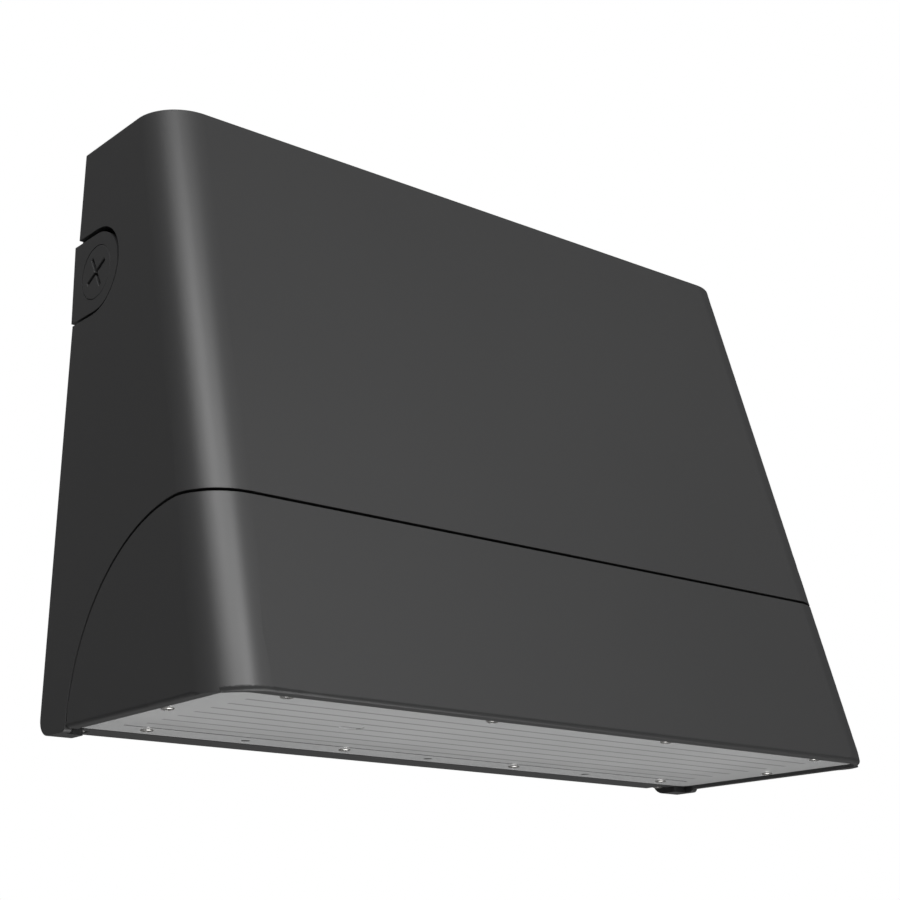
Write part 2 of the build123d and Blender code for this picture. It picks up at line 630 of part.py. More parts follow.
def heat_sink():
    sink = block(-SINK_X, SINK_X, *SINK_Y, DECK_TOP, DECK_TOP + SINK_BASE)
    count = int(2 * (SINK_X - FIN_THICK) / FIN_PITCH)
    first = -count * FIN_PITCH / 2
    for number in range(count + 1):
        x = first + number * FIN_PITCH
        sink += block(x - FIN_THICK / 2, x + FIN_THICK / 2, *SINK_Y, DECK_TOP + SINK_BASE - 0.5, FIN_TOP)
    for x, y in sink_screw_places():
        sink -= rod_z(4.5, x, y, DECK_TOP + SINK_BASE, FIN_TOP + 1)
        sink -= rod_z(1.8, x, y, DECK_TOP - 1, FIN_TOP)
    return sink - rod_z(LEAD_R + 4.5, LEAD_X, LEAD_Y, DECK_TOP - 1, FIN_TOP + 1)


def heat_sink_screws():
    group = Part()
    for x, y in sink_screw_places():
        group += screw_down(x, y, DECK_TOP + SINK_BASE, 5, 1.6, 3.4)
    return group


def board_screw_places():
    return [(side * x, y) for side in (-1, 1) for x in (12.0, 122.0) for y in BETWEEN_ROWS]


def led_places():
    step = (BOARD_X[1] - BOARD_X[0] - 16) / (LED_COUNT - 1)
    x_places = [BOARD_X[0] + 8 + step * number for number in range(LED_COUNT)]
    return [(side * x, y) for side in (-1, 1) for x in x_places for y in LED_ROWS]


def led_board(side):
    x_ends = sorted(side * x for x in BOARD_X)
    board = block(*x_ends, *BOARD_Y, DECK_LOW - BOARD_THICK, DECK_LOW)
    board = fillet(board.edges().filter_by(Axis.Z), 2)
    for x, y in board_screw_places():
        board -= rod_z(1.6, x, y, 0, DECK_LOW + 1)
    return board - rod_z(LEAD_R + 0.8, LEAD_X, LEAD_Y, 0, DECK_LOW + 1)


def leds():
    group = Part()
    high = DECK_LOW - BOARD_THICK
    for x, y in led_places():
        group += Pos(x, y, high - 0.6) * Box(LED_SIZE, LED_SIZE, 1.2)
    return group


def board_screws():
    group = Part()
    low = DECK_LOW - BOARD_THICK
    for x, y in board_screw_places():
        head = rod_z(2.6, x, y, low - 1.4, low)
        head = chamfer(head.faces().sort_by(Axis.Z)[0].edges(), 0.5)
        group += rod_z(1.3, x, y, low, DECK_TOP - 0.5) + head
    return group


def board_jumper():
    low = DECK_LOW - BOARD_THICK
    return block(-9, 9, LEAD_Y - 2, LEAD_Y + 2, low - 1.8, low)


def reflector():
    """White pan round the boards: slanted sides, and a slot for each row of lamps."""
    top = DECK_LOW - BOARD_THICK - 1.6
    low = RIM_THICK - 3.4
    middle = (CHAMBER_FRONT + CHAMBER_REAR) / 2
    width = 2 * CHAMBER_HALF
    depth = CHAMBER_REAR - CHAMBER_FRONT

    def section(z, draw_in):
        return Plane.XY.offset(z) * Pos(0, middle) * RectangleRounded(width - draw_in, depth - draw_in, 6)

    pan = loft([section(low, 0.8), section(top, 9)], ruled=True)
    pan -= loft([section(low - 0.1, 2.8), section(top - 1, 11)], ruled=True)
    for side in (-1, 1):
        for y in LED_ROWS:
            slot = Pos(side * (BOARD_X[0] + BOARD_X[1]) / 2, y) * SlotOverall(BOARD_X[1] - BOARD_X[0] - 4, 7)
            pan -= flat_prism(slot, top - 3, top + 3)
    for x, y in board_screw_places():
        pan -= rod_z(3.2, x, y, top - 3, top + 3)
    pan -= block(-10, 10, LEAD_Y - 3, LEAD_Y + 3, top - 3, top + 3)
    return pan - rod_z(LEAD_R + 0.8, LEAD_X, LEAD_Y, top - 3, top + 3)


def lead_grommet():
    neck = LEAD_R + 2.0
    flange = rod_z(LEAD_R + 3.6, LEAD_X, LEAD_Y, DECK_TOP, DECK_TOP + 2)
    grommet = rod_z(neck, LEAD_X, LEAD_Y, DECK_LOW, DECK_TOP) + flange
    return grommet - rod_z(LEAD_R, LEAD_X, LEAD_Y, DECK_LOW - 1, DECK_TOP + 3)


def led_lead():
    """The lead from the driver, with slack for the swing, into the light chamber."""
    end_z = DECK_LOW - BOARD_THICK - 1
    points = [(DRIVER_X[0], -19, DRIVER_Z - 8), (-84, -19, DRIVER_Z - 8), (-96, -26, 140),
              (-92, -40, 96), (LEAD_X, LEAD_Y, 84), (LEAD_X, LEAD_Y, end_z)]
    return wire(points, LEAD_R, [10, 20, 16, 12])


NODES = {
    "back_box": back_box,
    "wall_gasket": gasket_ring,
    "hinge_plates": hinge_plates,
    "hinge_plate_screws": hinge_plate_screws,
    "hinge_pins": hinge_pins,
    "conduit_plug_right": conduit_plug,
    "conduit_plug_left": lambda: mirror(conduit_plug(), about=Plane.YZ),
    "plug_seals": lambda: both_sides(plug_seal()),
    "led_driver": led_driver,
    "driver_screws": driver_screws,
    "wire_connectors": wire_connectors,
    "driver_leads": driver_leads,
    "ground_screw": ground_screw,
    "upper_shell": upper_shell,
    "lamp_housing": lamp_housing,
    "joining_screws": joining_screws,
    "hinge_bushes": hinge_bushes,
    "latch_springs": latch_springs,
    "latch_screws": latch_screws,
    "heat_sink": heat_sink,
    "heat_sink_screws": heat_sink_screws,
    "led_board_left": lambda: led_board(-1),
    "led_board_right": lambda: led_board(1),
    "leds": leds,
    "board_screws": board_screws,
    "board_jumper": board_jumper,
    "reflector": reflector,
    "lens": lens,
    "lens_gasket": lens_gasket,
    "lens_screws": lens_screws,
    "lead_grommet": lead_grommet,
    "led_lead": led_lead,
}

os.makedirs("parts", exist_ok=True)
for name, make in NODES.items():
    export_step(Pos(0, 0, -MOUNT_HEIGHT) * make(), f"parts/{name}.step")
    print(name)
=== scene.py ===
import json
import math
import bmesh
import bpy
from mathutils import Matrix, Quaternion, Vector
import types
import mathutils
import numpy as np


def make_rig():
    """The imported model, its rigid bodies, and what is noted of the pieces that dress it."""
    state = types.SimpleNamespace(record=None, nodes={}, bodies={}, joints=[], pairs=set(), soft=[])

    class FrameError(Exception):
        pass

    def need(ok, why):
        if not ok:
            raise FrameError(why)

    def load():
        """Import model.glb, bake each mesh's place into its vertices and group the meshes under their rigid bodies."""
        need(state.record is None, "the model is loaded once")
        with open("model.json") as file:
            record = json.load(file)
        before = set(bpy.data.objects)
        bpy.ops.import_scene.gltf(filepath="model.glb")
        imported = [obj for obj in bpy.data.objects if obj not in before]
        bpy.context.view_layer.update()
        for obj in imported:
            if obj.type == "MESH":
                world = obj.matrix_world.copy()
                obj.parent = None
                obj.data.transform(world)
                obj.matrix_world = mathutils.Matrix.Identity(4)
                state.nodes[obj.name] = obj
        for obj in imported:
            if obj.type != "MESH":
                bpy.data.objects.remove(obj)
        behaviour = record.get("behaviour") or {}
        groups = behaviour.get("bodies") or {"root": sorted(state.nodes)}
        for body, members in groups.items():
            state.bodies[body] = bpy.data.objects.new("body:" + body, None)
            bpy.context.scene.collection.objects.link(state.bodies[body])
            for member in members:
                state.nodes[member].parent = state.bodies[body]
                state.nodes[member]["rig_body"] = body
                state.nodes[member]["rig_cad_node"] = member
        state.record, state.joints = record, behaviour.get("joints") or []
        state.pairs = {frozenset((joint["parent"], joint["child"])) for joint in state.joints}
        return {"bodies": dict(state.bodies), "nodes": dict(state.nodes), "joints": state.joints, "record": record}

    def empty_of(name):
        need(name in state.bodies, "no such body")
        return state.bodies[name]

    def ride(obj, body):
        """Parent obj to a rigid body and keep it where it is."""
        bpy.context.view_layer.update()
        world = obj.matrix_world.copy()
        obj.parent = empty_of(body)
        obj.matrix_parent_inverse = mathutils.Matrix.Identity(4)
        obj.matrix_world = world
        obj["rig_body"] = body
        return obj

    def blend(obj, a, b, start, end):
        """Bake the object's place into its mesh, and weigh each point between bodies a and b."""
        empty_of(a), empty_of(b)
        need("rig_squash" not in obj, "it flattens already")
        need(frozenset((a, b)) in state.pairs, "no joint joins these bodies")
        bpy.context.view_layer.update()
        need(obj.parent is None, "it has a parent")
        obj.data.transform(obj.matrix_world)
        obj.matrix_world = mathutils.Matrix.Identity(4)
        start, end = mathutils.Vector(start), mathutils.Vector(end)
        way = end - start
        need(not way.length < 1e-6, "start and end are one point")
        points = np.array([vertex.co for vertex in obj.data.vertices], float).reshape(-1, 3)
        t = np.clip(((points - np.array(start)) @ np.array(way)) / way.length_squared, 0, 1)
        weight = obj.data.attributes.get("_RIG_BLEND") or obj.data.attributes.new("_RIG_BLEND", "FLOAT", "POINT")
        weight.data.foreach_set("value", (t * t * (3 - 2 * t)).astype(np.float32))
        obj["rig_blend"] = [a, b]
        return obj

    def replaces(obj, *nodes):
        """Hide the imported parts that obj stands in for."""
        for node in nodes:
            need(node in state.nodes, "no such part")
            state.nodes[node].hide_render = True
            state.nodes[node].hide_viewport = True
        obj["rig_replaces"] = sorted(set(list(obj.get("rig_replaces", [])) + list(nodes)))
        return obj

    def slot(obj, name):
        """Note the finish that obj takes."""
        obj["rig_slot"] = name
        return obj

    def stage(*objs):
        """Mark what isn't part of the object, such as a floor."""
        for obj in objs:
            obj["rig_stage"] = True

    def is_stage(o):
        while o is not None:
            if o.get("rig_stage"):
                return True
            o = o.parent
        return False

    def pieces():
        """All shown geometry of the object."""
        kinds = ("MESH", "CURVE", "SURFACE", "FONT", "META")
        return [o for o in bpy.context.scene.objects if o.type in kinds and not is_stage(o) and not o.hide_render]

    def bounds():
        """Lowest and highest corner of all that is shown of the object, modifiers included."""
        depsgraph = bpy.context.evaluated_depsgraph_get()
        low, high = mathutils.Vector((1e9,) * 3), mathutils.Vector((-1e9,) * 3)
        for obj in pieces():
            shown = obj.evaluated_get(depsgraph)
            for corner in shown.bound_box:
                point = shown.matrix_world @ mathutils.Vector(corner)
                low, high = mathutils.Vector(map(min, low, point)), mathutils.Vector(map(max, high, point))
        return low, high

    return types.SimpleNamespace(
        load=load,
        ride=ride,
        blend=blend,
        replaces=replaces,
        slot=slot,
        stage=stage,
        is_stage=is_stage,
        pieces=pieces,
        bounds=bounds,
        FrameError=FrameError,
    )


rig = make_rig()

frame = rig.load()
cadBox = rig.bounds()
nodes = frame["nodes"]
record = frame["record"]
mm = 0.001


def grey(level):
    return (level, level, level, 1)


def share(value, start, end):
    # how far a value has come from start to end, between 0 and 1
    return min(1, max(0, (value - start) / (end - start)))


view = {
    "place": (-448.9, -576.7, -207.5),  # mm, below and to the left of the lamp
    "azimuth": -39.895,
    "elevation": -17.336,
    "roll": -0.685,
    "lens": 72.01,  # mm
    "sensor": 36,  # mm
    "clip": (0.01, 50),  # metres
}

studio = {
    "floorDrop": 1.2,  # metres from the wall fixings down to the floor
    "floorSize": 60.0,
    "floorColour": grey(0.42),
    "floorWhite": 0.86,  # share of plain white in what the camera sees of the floor
    "skyLevel": 0.13,
    "aim": (0, -0.06, 0),  # where every lamp points
}

lamps = {  # metres and watts; highLamp, lowLamp and leftLamp draw the bright band on the upright corner
    "frontLamp": {"place": (1.5, -3.2, 1.6), "size": (2.6, 2.6), "watts": 25.5},
    "highLamp": {"place": (-1.3, -1.2, 1.4), "size": (0.5, 0.5), "watts": 15.0},
    "lowLamp": {"place": (-0.7, -1.7, 1.0), "size": (0.4, 0.8), "watts": 20.0},
    "leftLamp": {"place": (-1.7, -0.75, 1.25), "size": (0.6, 0.6), "watts": 7.0},
    "backLamp": {"place": (0.9, 2.6, 1.9), "size": (2.4, 2.4), "watts": 22.0},
    "underLamp": {"place": (0.15, -0.15, -1.0), "size": (0.7, 0.7), "watts": 4.9},
}


def makeCamera():
    azimuth = math.radians(view["azimuth"])
    elevation = math.radians(view["elevation"])
    back = Vector((math.sin(azimuth) * math.cos(elevation), -math.cos(azimuth) * math.cos(elevation),
                   math.sin(elevation)))
    camera = bpy.data.objects.new("camera", bpy.data.cameras.new("camera"))
    bpy.context.scene.collection.objects.link(camera)
    camera.data.lens = view["lens"]
    camera.data.sensor_width = view["sensor"]
    camera.data.clip_start, camera.data.clip_end = view["clip"]
    camera.rotation_mode = "QUATERNION"
    camera.location = Vector(view["place"]) * mm
    roll = Quaternion((0, 0, 1), math.radians(view["roll"]))
    camera.rotation_quaternion = (-back).to_track_quat("-Z", "Y") @ roll
    bpy.context.scene.camera = camera


def makeLamp(name, lamp):
    light = bpy.data.lights.new(name, "AREA")
    light.shape = "RECTANGLE"
    light.size, light.size_y = lamp["size"]
    light.energy = lamp["watts"]
    holder = bpy.data.objects.new(name, light)
    bpy.context.scene.collection.objects.link(holder)
    holder.location = lamp["place"]
    aim = Vector(studio["aim"]) - holder.location
    holder.rotation_euler = aim.to_track_quat("-Z", "Y").to_euler()


class Signal:
    # one socket of a shader tree; sums on signals add their Math nodes
    def __init__(self, tree, socket=None):
        self.tree = tree
        self.socket = socket

    def make(self, kind, settings=None, inputs=None, output=0):
        node = self.tree.nodes.new(kind)
        for name, value in (settings or {}).items():
            if name == "stops":
                self.setStops(node.color_ramp, *value)
            else:
                setattr(node, name, value)
        for name, value in (inputs or {}).items():
            if isinstance(value, Signal):
                self.tree.links.new(value.socket, node.inputs[name])
            else:
                node.inputs[name].default_value = value
        return Signal(self.tree, node.outputs[output])

    def setStops(self, ramp, interpolation, stops):
        ramp.interpolation = interpolation
        while len(ramp.elements) < len(stops):
            ramp.elements.new(0.5)
        for element, (place, colour) in zip(ramp.elements, stops):
            element.position = place
            element.color = colour

    def sum(self, operation, first, second):
        return self.make("ShaderNodeMath", {"operation": operation}, {0: first, 1: second})

    def __add__(self, other):
        return self.sum("ADD", self, other)

    def __radd__(self, other):
        return self.sum("ADD", other, self)

    def __sub__(self, other):
        return self.sum("SUBTRACT", self, other)

    def __rsub__(self, other):
        return self.sum("SUBTRACT", other, self)

    def __mul__(self, other):
        return self.sum("MULTIPLY", self, other)

    def __rmul__(self, other):
        return self.sum("MULTIPLY", other, self)

    def __lt__(self, other):
        return self.sum("LESS_THAN", self, other)

    def __abs__(self):
        return self.make("ShaderNodeMath", {"operation": "ABSOLUTE"}, {0: self})

    def __round__(self):
        return self.make("ShaderNodeMath", {"operation": "ROUND"}, {0: self})

    def beside(self, name):
        # another output of the same node
        return Signal(self.tree, self.socket.node.outputs[name])

    def mixed(self, low, high):
        return self.make("ShaderNodeMix", {"data_type": "RGBA"}, {0: self, 6: low, 7: high}, output=2)


def newFinish(name, **fixed):
    finish = bpy.data.materials.new(name)
    finish.use_nodes = True
    shader = finish.node_tree.nodes["Principled BSDF"]
    for socket, value in fixed.items():
        shader.inputs[socket.replace("_", " ")].default_value = value
    return finish, Signal(finish.node_tree), shader.inputs


def joinTo(signal, socket):
    signal.tree.links.new(signal.socket, socket)


def noise(pen, scale, detail=2.0, roughness=0.5):
    place = pen.make("ShaderNodeTexCoord", output=3)
    return pen.make("ShaderNodeTexNoise", {"noise_dimensions": "3D"},
                    {"Vector": place, "Scale": scale, "Detail": detail, "Roughness": roughness})


def bumpOf(pen, height, depth, strength=1.0):
    return pen.make("ShaderNodeBump", None, {"Height": height, "Distance": depth, "Strength": strength})


def powderCoat():
    # satin charcoal powder coat over a die casting
    finish, pen, sockets = newFinish("powderCoat", Specular_IOR_Level=0.5)
    cloud = noise(pen, 9.0, 3.0)
    grain = noise(pen, 1500.0, 2.0)
    peel = noise(pen, 420.0, 1.0)
    joinTo(cloud.mixed((0.036, 0.036, 0.0365, 1), (0.040, 0.040, 0.0405, 1)), sockets["Base Color"])
    joinTo(0.38 + 0.04 * cloud + 0.03 * grain, sockets["Roughness"])
    joinTo(bumpOf(pen, 0.7 * peel + 0.3 * grain, 0.00002, 0.4), sockets["Normal"])
    return finish


def plainFinish(name, colour, roughness, spread=0.06, metallic=0.0, grainScale=900.0, depth=0.00002, **fixed):
    # one moulded or turned material, with a little variation in tone, gloss and surface
    finish, pen, sockets = newFinish(name, Metallic=metallic, **fixed)
    cloud = noise(pen, 35.0, 3.0)
    grain = noise(pen, grainScale, 2.0)
    dark = tuple(c * (1 - spread) for c in colour) + (1,)
    light = tuple(min(1, c * (1 + spread)) for c in colour) + (1,)
    joinTo(cloud.mixed(dark, light), sockets["Base Color"])
    joinTo(roughness + 0.12 * (grain - 0.5), sockets["Roughness"])
    joinTo(bumpOf(pen, grain, depth, 0.5), sockets["Normal"])
    return finish


lensRibs = {  # mm; a darker line of painted shade is drawn on each rib, and a near-black line of painted shade where the chamber ends behind the lens
    "middle": -70.0, "pitch": 10.1, "count": 7, "line": 0.9, "end": 136.0,
    "seamShade": -31.3, "seamShadeWide": 0.6, "seamShadeEnd": 140.0,
}


def clearLens():
    # prismatic polycarbonate with a soft sheen of its own; its ribs show as thin darker lines of painted shade, and a
    # near-black line of painted shade lies where the chamber ends behind it
    finish, pen, sockets = newFinish("clearLens", IOR=1.58, Specular_IOR_Level=0.6)
    place = pen.make("ShaderNodeTexCoord", output=3)
    x = pen.make("ShaderNodeSeparateXYZ", None, {0: place})
    y, reach = x.beside("Y"), abs(x)
    pitch = lensRibs["pitch"] * mm
    along = (y - lensRibs["middle"] * mm) * (1 / pitch)
    nearest = round(along)
    # painted shade: a darker line along each rib of the clear lens
    onShadedRib = abs(along - nearest) < lensRibs["line"] * mm / pitch
    line = onShadedRib * (abs(nearest) < lensRibs["count"] / 2) * (reach < lensRibs["end"] * mm)
    # painted shade: a near-black, less clear line where the chamber ends behind the lens
    seamShade = (abs(y - lensRibs["seamShade"] * mm) < lensRibs["seamShadeWide"] * mm) * (reach < lensRibs["seamShadeEnd"] * mm)
    cloud = noise(pen, 18.0, 2.0)
    plain = cloud.mixed((0.81, 0.82, 0.82, 1), grey(0.87))
    joinTo(seamShade.mixed(line.mixed(plain, grey(0.55)), grey(0.10)), sockets["Base Color"])
    joinTo(0.12 + 0.06 * cloud, sockets["Roughness"])
    joinTo(0.76 + 0.03 * cloud + 0.12 * seamShade, sockets["Alpha"])
    return finish


def ledFinish():
    # white case and yellow phosphor, told apart by the points' own mark
    finish, pen, sockets = newFinish("ledPhosphor", Coat_Weight=0.4)
    glow = pen.make("ShaderNodeAttribute", {"attribute_name": "glow"}, output=2)
    joinTo(glow.mixed((0.78, 0.78, 0.76, 1), (0.80, 0.56, 0.10, 1)), sockets["Base Color"])
    joinTo(0.42 - 0.12 * glow, sockets["Roughness"])
    return finish


def wireFinish():
    # black, white and green cores, told apart by their points' tint
    finish, pen, sockets = newFinish("leadWires", Roughness=0.42)
    tint = pen.make("ShaderNodeAttribute", {"attribute_name": "tint"}, output=2)
    cores = [(0.0, grey(0.022)), (0.4, (0.74, 0.74, 0.72, 1)), (0.8, (0.03, 0.24, 0.07, 1))]
    ramp = pen.make("ShaderNodeValToRGB", {"stops": ("CONSTANT", cores)}, {"Fac": tint})
    joinTo(ramp, sockets["Base Color"])
    return finish


def seenDirectly(pen):
    # 1 where the camera sees a surface itself or through something clear
    camera = pen.make("ShaderNodeLightPath")
    return pen.sum("MAXIMUM", camera, camera.beside("Is Transmission Ray"))


def floorFinish():
    # the camera sees it nearly white, with the shadow that falls on it
    finish, pen, sockets = newFinish("floorFinish", Roughness=0.9)
    sockets["Base Color"].default_value = studio["floorColour"]
    tree = finish.node_tree
    glow = pen.make("ShaderNodeEmission", None, {"Color": grey(1), "Strength": 1.0})
    shader = Signal(tree, tree.nodes["Principled BSDF"].outputs[0])
    shown = studio["floorWhite"] * seenDirectly(pen)
    mix = pen.make("ShaderNodeMixShader", None, {0: shown, 1: shader, 2: glow})
    joinTo(mix, tree.nodes["Material Output"].inputs["Surface"])
    return finish


def makeStudio():
    for name, lamp in lamps.items():
        makeLamp(name, lamp)
    bpy.ops.mesh.primitive_plane_add(size=studio["floorSize"], location=(0, 0, -studio["floorDrop"]))
    floor = bpy.context.object
    floor.name = "floor"
    floor.data.materials.append(floorFinish())
    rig.stage(floor)
    world = bpy.data.worlds.new("studio")
    bpy.context.scene.world = world
    world.use_nodes = True
    tree = world.node_tree
    tree.nodes.clear()
    pen = Signal(tree)
    light = pen.make("ShaderNodeBackground", None, {"Color": grey(1), "Strength": studio["skyLevel"]})
    white = pen.make("ShaderNodeBackground", None, {"Color": grey(1), "Strength": 1.0})
    mix = pen.make("ShaderNodeMixShader", None, {0: seenDirectly(pen), 1: light, 2: white})
    end = tree.nodes.new("ShaderNodeOutputWorld")
    tree.links.new(mix.socket, end.inputs["Surface"])


makeCamera()
makeStudio()
bpy.context.scene.view_settings.view_transform = "Standard"
print("camera and studio")

finishes = {
    "housing_paint": powderCoat(),
    "lens_clear": clearLens(),
    "reflector_white": plainFinish("reflectorWhite", (0.80, 0.80, 0.79), 0.35),
    "board_white": plainFinish("boardWhite", (0.78, 0.79, 0.77), 0.45),
    "led_phosphor": ledFinish(),
    "stainless": plainFinish("stainless", (0.62, 0.61, 0.59), 0.28, metallic=1.0),
    "seal_black": plainFinish("sealBlack", (0.018, 0.018, 0.018), 0.62),
    "gasketWhite": plainFinish("gasketWhite", (0.80, 0.80, 0.79), 0.5),
    "driver_case": plainFinish("driverCase", (0.72, 0.73, 0.72), 0.4),
    "sink_aluminium": plainFinish("sinkAluminium", (0.66, 0.67, 0.68), 0.38, metallic=1.0),
    "lead_jacket": plainFinish("leadJacket", (0.05, 0.05, 0.052), 0.5),
    "lead_wires": wireFinish(),
    "connector_clear": plainFinish("connectorClear", (0.75, 0.78, 0.78), 0.2, Transmission_Weight=0.5),
    "ground_green": plainFinish("groundGreen", (0.02, 0.22, 0.06), 0.35, metallic=0.6),
    "bush_nylon": plainFinish("bushNylon", (0.70, 0.68, 0.62), 0.5),
    "jumper_white": plainFinish("jumperWhite", (0.82, 0.82, 0.80), 0.4),
}
for node in nodes.values():
    slotName = node.data.materials[0].name.split(".")[0]
    node.data.materials[0] = finishes[slotName]
print("finishes on every CAD node")

bodyOfNode = {node: body for body, held in record["behaviour"]["bodies"].items() for node in held}
slotOfNode = {part["node"]: part["material_slot"] for part in record["subparts"]}


def newPiece(name, mesh):
    piece = bpy.data.objects.new(name, mesh)
    bpy.context.scene.collection.objects.link(piece)
    return piece


def settle(piece):
    # the piece's modifiers become its plain mesh
    bpy.context.view_layer.update()
    graph = bpy.context.evaluated_depsgraph_get()
    mesh = bpy.data.meshes.new_from_object(piece.evaluated_get(graph), preserve_all_data_layers=True,
                                           depsgraph=graph)
    piece.modifiers.clear()
    piece.data = mesh
    return piece


weld = {"solid": 0.00001, "wire": 0.000001}  # metres; points nearer than this become one
flatWithin = 0.4  # degrees; faces that lie nearer than this become one


def mergedMesh(nodeName):
    # a CAD node's triangles, joined along their edges and with its flat faces whole
    mesh = nodes[nodeName].data.copy()
    work = bmesh.new()
    work.from_mesh(mesh)
    bmesh.ops.remove_doubles(work, verts=work.verts, dist=weld["solid"])
    bmesh.ops.dissolve_limit(work, angle_limit=math.radians(flatWithin), verts=work.verts, edges=work.edges)
    for face in work.faces:
        face.smooth = True
    work.to_mesh(mesh)
    work.free()
    return mesh


def rideAs(piece, nodeNames, finish=None):
    slotName = slotOfNode[nodeNames[0]]
    if not piece.data.materials or finish:
        piece.data.materials.clear()
        piece.data.materials.append(finish or finishes[slotName])
    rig.ride(piece, bodyOfNode[nodeNames[0]])
    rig.replaces(piece, *nodeNames)
    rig.slot(piece, slotName)
    return piece


softEdges = {  # piece, mm of rounding on the sharp edges, and the least angle that is rounded
    "upper_shell": ("upperShell", 0.45, 28),
    "lamp_housing": ("lampHousing", 0.40, 28),
    "back_box": ("backBox", 0.40, 28),
    "conduit_plug_left": ("conduitPlugLeft", 0.25, 28),
    "conduit_plug_right": ("conduitPlugRight", 0.25, 28),
    "plug_seals": ("plugSeals", 0.30, 40),
    "hinge_plates": ("hingePlates", 0.30, 40),
    "hinge_pins": ("hingePins", 0.20, 40),
    "hinge_bushes": ("hingeBushes", 0.20, 40),
    "latch_springs": ("latchSprings", 0.12, 25),
    "heat_sink": ("heatSink", 0.25, 40),
    "reflector": ("reflector", 0.25, 30),
    "led_board_left": ("ledBoardLeft", 0.12, 40),
    "led_board_right": ("ledBoardRight", 0.12, 40),
    "board_jumper": ("boardJumper", 0.20, 40),
    "lens": ("lens", 0.18, 15),
    "lens_gasket": ("lensGasket", 0.10, 40),
    "lead_grommet": ("leadGrommet", 0.35, 40),
    "wall_gasket": ("wallGasket", 0.35, 40),
    "led_driver": ("ledDriver", 0.40, 40),
    "wire_connectors": ("wireConnectors", 0.40, 40),
}
ownFinish = {"lens_gasket": "gasketWhite"}


rim = {  # mm; the band of the lower casting that moves down, and by how much
    "under": -112.5, "band": 2.2, "front": -115.9, "side": 146.4, "slope": (-113.0, -102.0),
    "frontDrop": 0.8, "sideDrop": 1.25, "corner": (139.5, 155.0),
}


def lowerFront(mesh):
    # the skirt of the sides runs on round the corners, and a little less low along the front
    for vert in mesh.vertices:
        x, y, z = (value / mm for value in vert.co)
        atSide = abs(x) > rim["side"]
        low = z < rim["under"] + rim["band"] and y < rim["slope"][1]
        if not low or not (atSide or y < rim["front"]):
            continue
        turned = share(abs(x), *rim["corner"])
        turned *= turned * (3 - 2 * turned)
        want = rim["frontDrop"] + (rim["sideDrop"] - rim["frontDrop"]) * turned
        had = rim["sideDrop"] * share(y, *rim["slope"]) if atSide else 0
        vert.co.z -= mm * max(0, want - had)


topEdge = {  # mm; the rounding that the solid has, the one wanted, and how far a point may lie off it
    "top": 111.3, "front": -59.5, "half": 150.95, "corner": 18.0, "had": 2.5, "want": 1.0, "offBy": 0.4,
    "frontInset": 0.761, "sideInset": 0.972,  # the rounding's axis stands this share of its radius inside
    "stretch": 1.038,  # the leaning front cuts the corner a little longer than round
}


def tightenTop(mesh):
    # the rounding round the top keeps its form at a smaller radius
    had, corner, less = topEdge["had"], topEdge["corner"], topEdge["had"] - topEdge["want"]
    for vert in mesh.vertices:
        x, y, z = (value / mm for value in vert.co)
        rise = (z - topEdge["top"] + had) / had
        across = max(0, abs(x) - topEdge["half"] + corner)
        ahead = max(0, (topEdge["front"] - y) / topEdge["stretch"] + corner)
        far = math.hypot(across, ahead)
        if rise < 0 or far < 0.001:
            continue
        sideways, forward = across / far, ahead / far
        inset = topEdge["sideInset"] * sideways ** 2 + topEdge["frontInset"] * forward ** 2
        level = math.sqrt(max(0, 1 - rise ** 2))
        if abs(far - corner + had * inset - had * level) > topEdge["offBy"]:
            continue
        out = less * (inset - level)
        vert.co += Vector((math.copysign(sideways, x) * out, -forward * out, less * (1 - min(1, rise)))) * mm


reshape = {"lamp_housing": lowerFront, "upper_shell": tightenTop}


def roundEdges(nodeName, name, width, angle):
    mesh = mergedMesh(nodeName)
    if nodeName in reshape:
        reshape[nodeName](mesh)
    piece = newPiece(name, mesh)
    bevel = piece.modifiers.new("rounding", "BEVEL")
    bevel.width = width * mm
    bevel.segments = 3
    bevel.limit_method = "ANGLE"
    bevel.angle_limit = math.radians(angle)
    bevel.use_clamp_overlap = True
    bevel.miter_outer = "MITER_ARC"
    weighted = piece.modifiers.new("flatFaces", "WEIGHTED_NORMAL")
    weighted.mode = "FACE_AREA"
    weighted.weight = 90
    return settle(piece)


outer = {"foot": (157.25, 121.7, -112.5), "top": (150.95, 59.5, 111.3)}  # half width, depth and height in mm
rolled = {"radius": 18.0, "offBy": 0.3, "turn": 0.985}  # mm; the upright corners, and which faces are theirs
plane = {"offBy": 0.4, "turn": 0.9998}  # mm; which faces are the front's or a side's


def outerPlanes():
    # unit normal and distance of the front and of the two sides
    halfFoot, deepFoot, low = (value * mm for value in outer["foot"])
    halfTop, deepTop, high = (value * mm for value in outer["top"])
    tall = high - low
    planes = []
    for normal, point in ((Vector((0, -tall, deepFoot - deepTop)), Vector((0, -deepFoot, low))),
                          (Vector((-tall, 0, halfFoot - halfTop)), Vector((-halfFoot, 0, low))),
                          (Vector((tall, 0, halfFoot - halfTop)), Vector((halfFoot, 0, low)))):
        normal.normalize()
        planes.append((normal, normal.dot(point)))
    return planes


